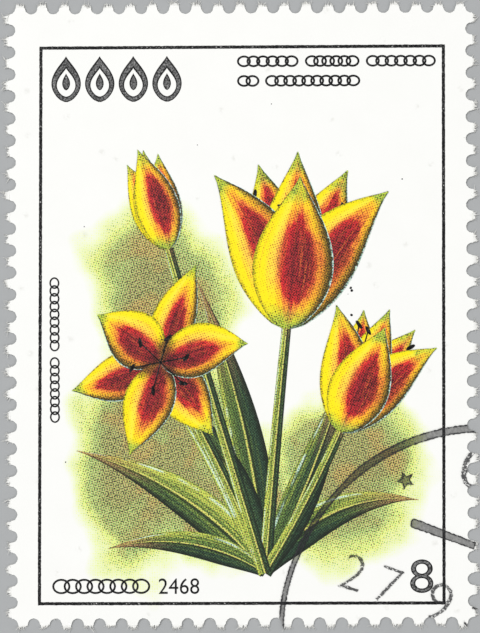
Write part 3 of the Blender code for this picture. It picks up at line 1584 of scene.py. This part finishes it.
@dataclass
class Headline:
    """A row of large plain bud shapes, each a broad outline round a small heart, worn along their middles."""

    left: float = -13.5 * MM
    foot: float = 15.3 * MM
    count: int = 4
    step: float = 2.4 * MM
    size: Point = mm(3.25, 2.1)  # upright length and width
    stroke: float = 0.39 * MM
    heart: Point = mm(1.2, 0.56)
    heart_foot: float = 0.84 * MM
    rim: float = 0.085 * MM  # how far in the worn middle of a stroke begins
    slope: float = 3.2  # how much a bud's length shrinks for each unit that its outline moves in
    layer: int = 2

    def _bud(self, brush: Brush, size: Point, foot: float, inset: float) -> Piece:
        """A flat upright bud shape that stands this far above the origin, with its outline moved in."""
        bud = copy_of(brush.master(Form.PETAL), "bud_shape")
        with editing(bud):
            bpy.ops.mesh.dissolve_limited(angle_limit=math.radians(1))
        place(bud, scale=(size[0] - self.slope * inset, size[1] - 2 * inset))
        place(bud, turn=math.pi / 2)
        return place(bud, at=(0, foot + inset))

    def _row(self, brush: Brush, name: str, rim: float, layer: int, ink: Material) -> Piece:
        """Print every bud with its strokes made narrower by a rim on both sides."""
        pieces = []
        for index in range(self.count):
            edges = [self._bud(brush, self.size, 0, inset) for inset in (rim, self.stroke - rim)]
            outline = join(edges, "headline_bud")
            with editing(outline):
                bpy.ops.mesh.delete(type="ONLY_FACE")
                bpy.ops.mesh.select_all(action="SELECT")
                bpy.ops.mesh.bridge_edge_loops()
            heart = self._bud(brush, self.heart, self.heart_foot, rim)
            spot = (self.left + self.size[1] / 2 + index * self.step, self.foot)
            pieces += [place(piece, at=spot) for piece in (outline, heart)]
        row = join(pieces, name)
        cut_along_grid(row)
        return printed(row, layer, ink)

    def build(self, brush: Brush, ink: Material, worn: Material) -> list[Piece]:
        """Print the row and its worn middles."""
        return [self._row(brush, "headline_buds", 0, self.layer, ink),
                self._row(brush, "headline_bud_cores", self.rim, self.layer + 1, worn)]


@dataclass
class Numeral:
    """Plain figures set in the print."""

    name: str
    text: str
    corner: Point  # lower left
    size: Point  # width and height
    weight: float = 0.0
    rim: float = 0.0  # how far in the worn middle of a stroke begins, at a size of one unit
    layer: int = 2

    def build(self, ink: Material, worn: Union[Material, None] = None) -> list[Piece]:
        """Print the figures, and the worn middles of their strokes if they have them."""
        parts = [(flat_figures(self.name, self.text, self.weight), ink)]
        if worn is not None:
            parts.append((flat_figures(f"{self.name}_core", self.text, self.weight - self.rim), worn))
        (left, foot), (width, height) = flat_box(parts[0][0])
        for above, (part, finish) in enumerate(parts):
            place(part, at=(-left, -foot))
            place(part, scale=(self.size[0] / width, self.size[1] / height))
            place(part, at=self.corner)
            cut_along_grid(part)
            printed(part, self.layer + above, finish)
        return [part for part, _ in parts]


@dataclass
class Postmark:
    """The corner of a round postmark that falls on the stamp."""

    centre: Point = mm(17.16, -22.37)
    # how the ring runs: the angle in degrees, anticlockwise, and its radius and width there in millimetres
    ring: tuple[tuple[float, float, float], ...] = (
        (85, 14.27, 0.58), (128, 14.25, 0.57), (135, 14.21, 0.41), (150, 14.22, 0.39), (158, 14.26, 0.38),
        (170, 14.38, 0.38), (185, 14.46, 0.36),
    )
    bar: tuple[Point, Point] = (mm(12.0, -14.78), mm(16.59, -16.51))
    bar_width: Point = mm(0.7, 0.52)  # at its two ends
    star: Point = mm(11.65, -11.8)
    star_radius: float = 0.67 * MM
    star_turn: float = 24.0
    star_waist: float = 0.47  # how far its inner corners lie from its middle, as a share of its radius
    rim: float = 0.11 * MM
    uneven: float = 0.016 * MM
    layer: int = 24
    figures: tuple[tuple[str, Point, float, float, float], ...] = (
        # a figure, where its middle is, its height, its turn in degrees, and how much bolder than usual it is
        ("2", mm(7.9, -18.4), 2.55 * MM, -20, -0.022),
        ("7", mm(10.4, -19.3), 2.55 * MM, -20, -0.026),
        ("9", mm(14.0, -20.5), 2.7 * MM, -20, -0.022),
        ("5", mm(16.75, -21.2), 2.55 * MM, -20, -0.022),
        ("6", mm(16.5, -10.95), 3.0 * MM, 4, -0.012),
    )

    def _film(self, obj: Piece, cutter: Piece, finish: Material, crossed: bool = False) -> Piece:
        """Print a flat piece of the postmark, with uneven edges and no ink over a hole or the sheet's edge.

        Args:
            obj: the flat piece.
            cutter: the prism of the sheet's outline.
            finish: the piece's ink.
            crossed: whether its outline may cross itself.

        Returns:
            The finished piece.
        """
        roughen(obj, self.uneven)
        thicken(obj, PAPER_THICKNESS - INK_SINK, PAPER_THICKNESS + self.layer * INK_LAYER)
        keep_inside(obj, cutter, crossed)
        even_triangles(obj)
        cockle(obj)
        obj.data.materials.clear()
        return dressed(obj, finish)

    def _ring_at(self, angle: float) -> tuple[float, ...]:
        """The ring's radius and width in this direction from its centre, in degrees."""
        for (before, *low), (after, *high) in zip(self.ring, self.ring[1:]):
            share = (angle - before) / (after - before)
            if share <= 1:
                break
        return mm(*(first + share * (last - first) for first, last in zip(low, high)))

    def _ring(self) -> Piece:
        """The ring's arc: a short line across the stroke is spun round, and then set to the ring's run.

        Spin turns clockwise.
        """
        ring = added("postmark_ring", bpy.ops.mesh.primitive_plane_add, size=1)
        with editing(ring):
            bpy.ops.mesh.delete(type="EDGE_FACE")
        first, last = self.ring[0][0], self.ring[-1][0]
        start = Vector((math.cos(math.radians(last)), math.sin(math.radians(last)), 0))
        for vertex, far in zip(ring.data.vertices, (1, 2, 3, 4)):
            vertex.co = far * start
        ring.data.edges.add(3)
        for index, edge in enumerate(ring.data.edges):
            edge.vertices = (index, index + 1)
        with editing(ring):
            bpy.ops.mesh.spin(steps=72, angle=math.radians(last - first), center=(0, 0, 0), axis=(0, 0, 1))
        store(ring, "rim", lambda co: float(round(co.length) in (1, 4)))
        for vertex in ring.data.vertices:
            radius, width = self._ring_at(math.degrees(math.atan2(vertex.co.y, vertex.co.x)) % 360)
            lines = (-width / 2, self.rim - width / 2, width / 2 - self.rim, width / 2)
            vertex.co = vertex.co.normalized() * (radius + lines[round(vertex.co.length) - 1])
        return place(ring, at=self.centre)

    def _bar(self) -> Piece:
        """The straight bar of the date line."""
        (x0, y0), (x1, y1) = self.bar
        length = math.hypot(x1 - x0, y1 - y0)
        head, foot = self.bar_width
        bar = flat_bar("postmark_bar", length, foot)
        select_where(bar, lambda co: co.x < 0)
        with editing(bar, everything=False):
            bpy.ops.transform.resize(value=(1, head / foot, 1), center_override=(0, 0, 0))
            bpy.ops.mesh.bevel(offset=0.45 * head, segments=5, affect="VERTICES")
        mark_rim(bar, self.rim)
        place(bar, at=(length / 2, 0))
        place(bar, turn=math.atan2(y1 - y0, x1 - x0))
        return place(bar, at=(x0, y0))

    def _star(self) -> Piece:
        """A plain five-pointed star."""
        star = flat_disc("postmark_star", 2 * self.star_radius, 2 * self.star_radius, 10)
        select_where(star, lambda co: round((math.degrees(math.atan2(co.y, co.x)) - 18) / 36) % 2 == 1)
        with editing(star, everything=False):
            bpy.ops.transform.resize(value=(self.star_waist, self.star_waist, 1), center_override=(0, 0, 0))
        mark_rim(star, self.rim)
        place(star, turn=math.radians(self.star_turn))
        return place(star, at=self.star)

    def _figure(self, text: str, spot: Point, tall: float, turn: float, weight: float) -> Piece:
        """One plain figure drawn with a thin line."""
        figure = flat_figures(f"postmark_figure_{text}", text, weight)
        (left, foot), (width, height) = flat_box(figure)
        place(figure, at=(-left - width / 2, -foot - height / 2))
        place(figure, scale=(tall / height, tall / height))
        place(figure, turn=math.radians(turn))
        return place(figure, at=spot)

    def build(self, cutter: Piece) -> list[Piece]:
        """Stamp the postmark.

        Args:
            cutter: the prism of the sheet's outline.

        Returns:
            The postmark's pieces.
        """
        strokes = PostmarkInk("postmark_ink", core=0.49, edge=0.97, gaps=0.0).make()
        lines = PostmarkInk("postmark_line_ink", core=0.82, edge=0.95, gaps=0.24).make()
        pieces = [self._film(part, cutter, strokes) for part in (self._ring(), self._bar(), self._star())]
        pieces += [self._film(self._figure(*figure), cutter, lines, True) for figure in self.figures]
        return pieces


@dataclass
class InkSpecks:
    """Stray specks of ink on the margin of the picture."""

    # where each speck is and its radius, in millimetres
    spots: tuple[tuple[float, float, float], ...] = (
        (7.8, 1.95, 0.1), (7.88, 1.76, 0.1), (7.85, 0.02, 0.09), (7.6, 1.5, 0.03), (-11.2, 6.4, 0.04),
        (2.2, 15.1, 0.04), (-12.6, -10.4, 0.05), (12.4, -19.4, 0.05), (-3.1, 12.2, 0.035), (11.5, 9.7, 0.05),
    )
    layer: int = 2

    def build(self, ink: Material) -> Piece:
        """Print the specks as one piece."""
        pieces = []
        for index, (x, y, radius) in enumerate(self.spots):
            speck = flat_disc("speck", 2 * radius * MM, 2 * radius * MM, 9)
            with editing(speck):
                bpy.ops.transform.vertex_random(offset=0.35 * radius * MM, seed=index)
            for vertex in speck.data.vertices:
                vertex.co.z = 0
            pieces.append(place(speck, at=(x * MM, y * MM)))
        return printed(join(pieces, "ink_specks"), self.layer, ink)


@dataclass
class Studio:
    """The pale floor, the soft light, and a camera straight above, as in a flat-bed scan."""

    view_height: float = 45.2 * MM
    centre: Point = mm(-0.11, -0.06)
    roll: float = -0.25  # degrees
    lens: float = 100.0
    sensor: float = 36.0
    sky: float = 0.306  # how strong the even light from all round is

    def build(self) -> None:
        """Set up the floor, the lights and the camera."""
        floor = added("floor", bpy.ops.mesh.primitive_plane_add, size=16, location=(0, 0, -0.002 * MM))
        floor.data.materials.append(FloorFinish().make())
        self._world()
        self._light("key_light", (-1.1, 0.8, 2.1), 1.5, 43.2)
        self._light("fill_light", (1.5, -1.1, 2.0), 2.0, 24.2)
        self._camera()
        view = bpy.context.scene.view_settings
        view.view_transform = "Standard"
        view.look = "None"

    def _world(self) -> None:
        """Even pale light from all round."""
        world = bpy.data.worlds.new("studio")
        world.use_nodes = True
        background = world.node_tree.nodes["Background"]
        background.inputs["Color"].default_value = WHITE
        background.inputs["Strength"].default_value = self.sky
        bpy.context.scene.world = world

    def _light(self, name: str, spot: tuple[float, float, float], size: float, power: float) -> None:
        """A square soft light that faces the stamp."""
        data = bpy.data.lights.new(name, "AREA")
        data.size = size
        data.energy = power
        light = bpy.data.objects.new(name, data)
        light.location = spot
        light.rotation_euler = (-Vector(spot)).to_track_quat("-Z", "Y").to_euler()
        bpy.context.scene.collection.objects.link(light)

    def _camera(self) -> None:
        """A long lens that looks straight down."""
        data = bpy.data.cameras.new("camera")
        data.lens = self.lens
        data.sensor_width = self.sensor
        camera = bpy.data.objects.new("camera", data)
        distance = self.view_height * self.lens / self.sensor
        camera.location = (*self.centre, PAPER_THICKNESS + distance)
        camera.rotation_euler = (0, 0, math.radians(self.roll))
        data.clip_start = distance / 10
        data.clip_end = 20
        bpy.context.scene.collection.objects.link(camera)
        bpy.context.scene.camera = camera


def main() -> None:
    """Build the stamp from the paper up, and the studio round it."""
    logging.basicConfig(level=logging.INFO, format="%(message)s")
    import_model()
    sheet = StampSheet()
    cutter = sheet.cutter()
    sheet.build(cutter)
    sheet.build_fibres()
    black = BlackInk().make()
    worn_ink = BlackInk("worn_ink", tint(58, 58, 58), tint(122, 122, 122), least=0.38, most=0.6, missed=0.68)
    worn = worn_ink.make()
    rubbed = BlackInk("rubbed_ink", thin=tint(60, 60, 60), least=0.45, most=0.6, missed=0.66).make()
    picture = FlowerPicture()
    PrintedFrame().build(black, rubbed)
    Headline().build(picture.brush, black, worn)
    bands = (
        ChainBand("upper_band", mm(-0.25, 18.15), ((0, 4.4), (4.85, 8.75), (9.2, 14.2))),
        ChainBand("lower_band", mm(-0.25, 16.75), ((0, 1.6), (2.0, 8.8))),
        ChainBand("side_band", mm(-13.35, -7.6), ((0, 4.7), (5.1, 10.4)), turn=90, height=0.72 * MM,
                  stroke=0.115 * MM, link=0.84 * MM),
        ChainBand("foot_band", mm(-13.6, -19.28), ((0, 7.0),), height=1.1 * MM, link=1.3 * MM),
    )
    for band in bands:
        band.build(black)
    Numeral("foot_figures", "2468", mm(-6.0, -19.85), mm(2.9, 1.12)).build(black)
    Numeral("value_figure", "8", mm(11.95, -19.85), mm(1.66, 2.4), rim=0.024).build(black, worn)
    picture.build(black)
    InkSpecks().build(black)
    Postmark().build(cutter)
    bpy.data.objects.remove(cutter)
    Studio().build()


if __name__ == "__main__":
    main()
